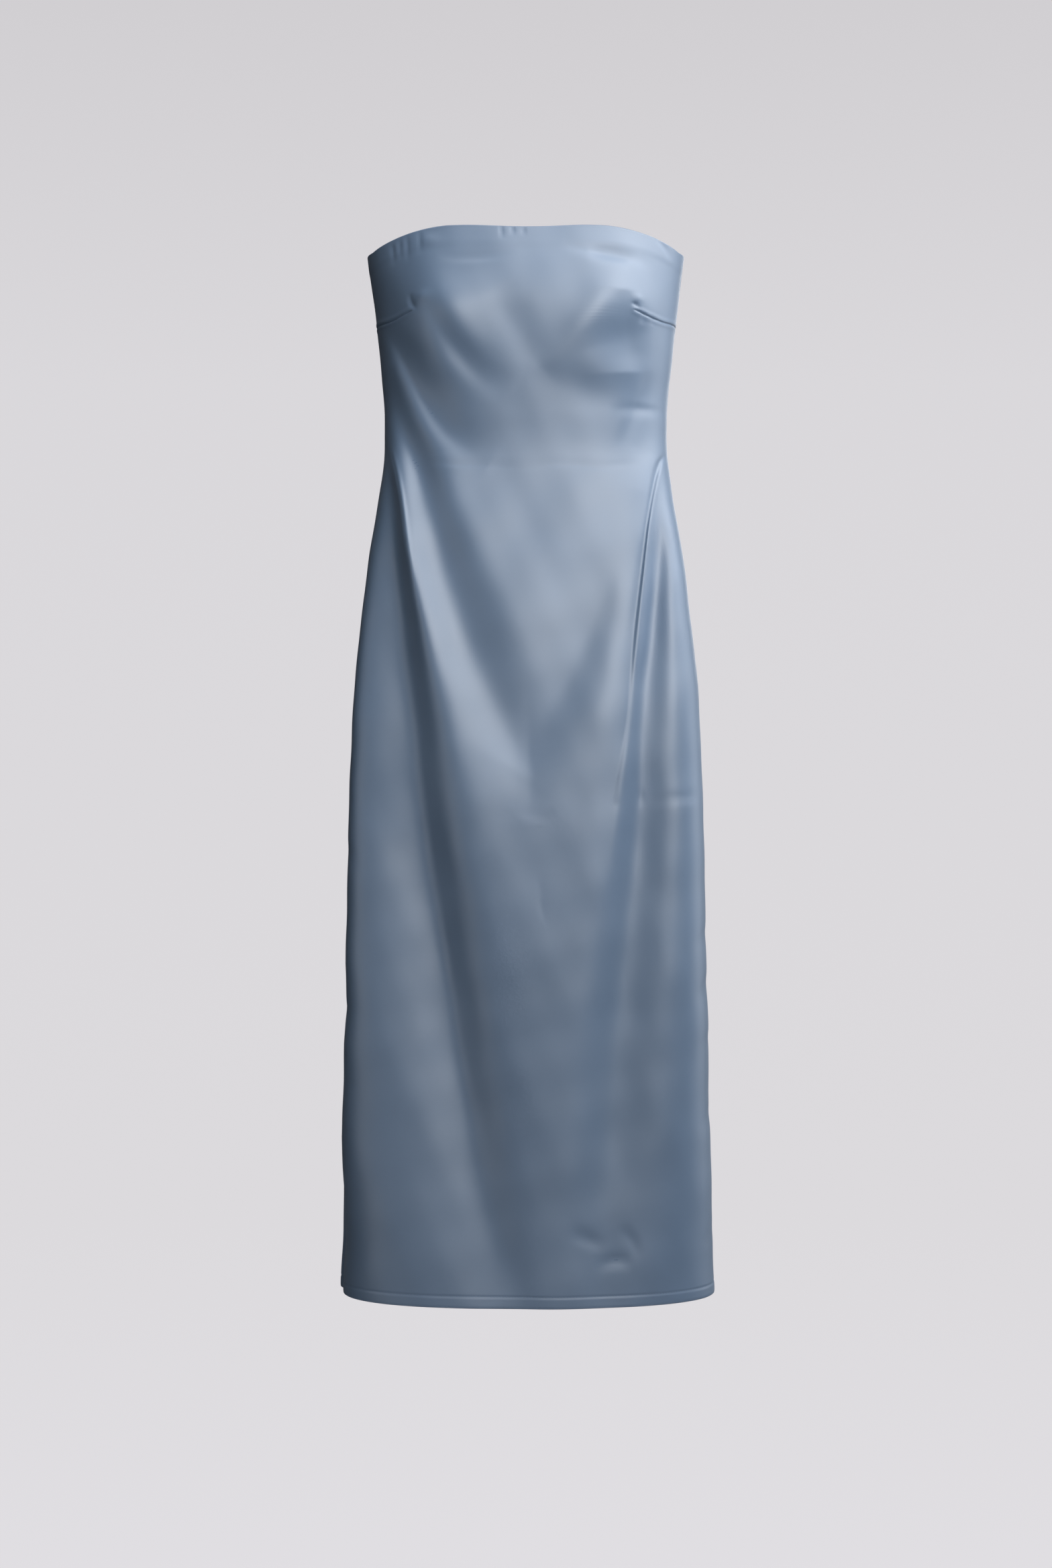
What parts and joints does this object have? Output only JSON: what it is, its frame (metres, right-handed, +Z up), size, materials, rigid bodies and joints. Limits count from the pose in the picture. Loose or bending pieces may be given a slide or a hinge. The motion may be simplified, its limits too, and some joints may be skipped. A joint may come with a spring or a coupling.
{
  "type": "strapless dress",
  "caption": "Fitted strapless midi dress in satin, hollow and open at the neck edge and hem, with bust darts and a back zip.",
  "frame": {"origin": "on the body's axis at the bust line, in the plane of the side seams, where the wearer's chest holds the dress up", "axes": "+Z up; the front faces -Y; +X is the viewer's right, seen from the front"},
  "size_m": [0.3918, 0.2362, 1.0964],
  "materials": {
    "satin": "dusty blue polyester satin, smooth, with a soft sheen",
    "zip_tape": "matt woven polyester tape with a nylon coil, dyed to match",
    "zip_metal": "lacquered zinc, dyed to match the cloth"
  },
  "bodies": {
    "dress": {"front": "satin", "back_left": "satin", "back_right": "satin", "zip_tape_left": "zip_tape", "zip_tape_right": "zip_tape", "zip_slider": "zip_metal"},
    "zip_pull": {"zip_pull": "zip_metal"}
  },
  "joints": [
    {"name": "pull_swing", "type": "hinge", "parent": "dress", "child": "zip_pull", "pos_m": [0, 0.0979, 0.04044], "axis": [1, 0, 0], "range_deg": [-4, 170]}
  ]
}
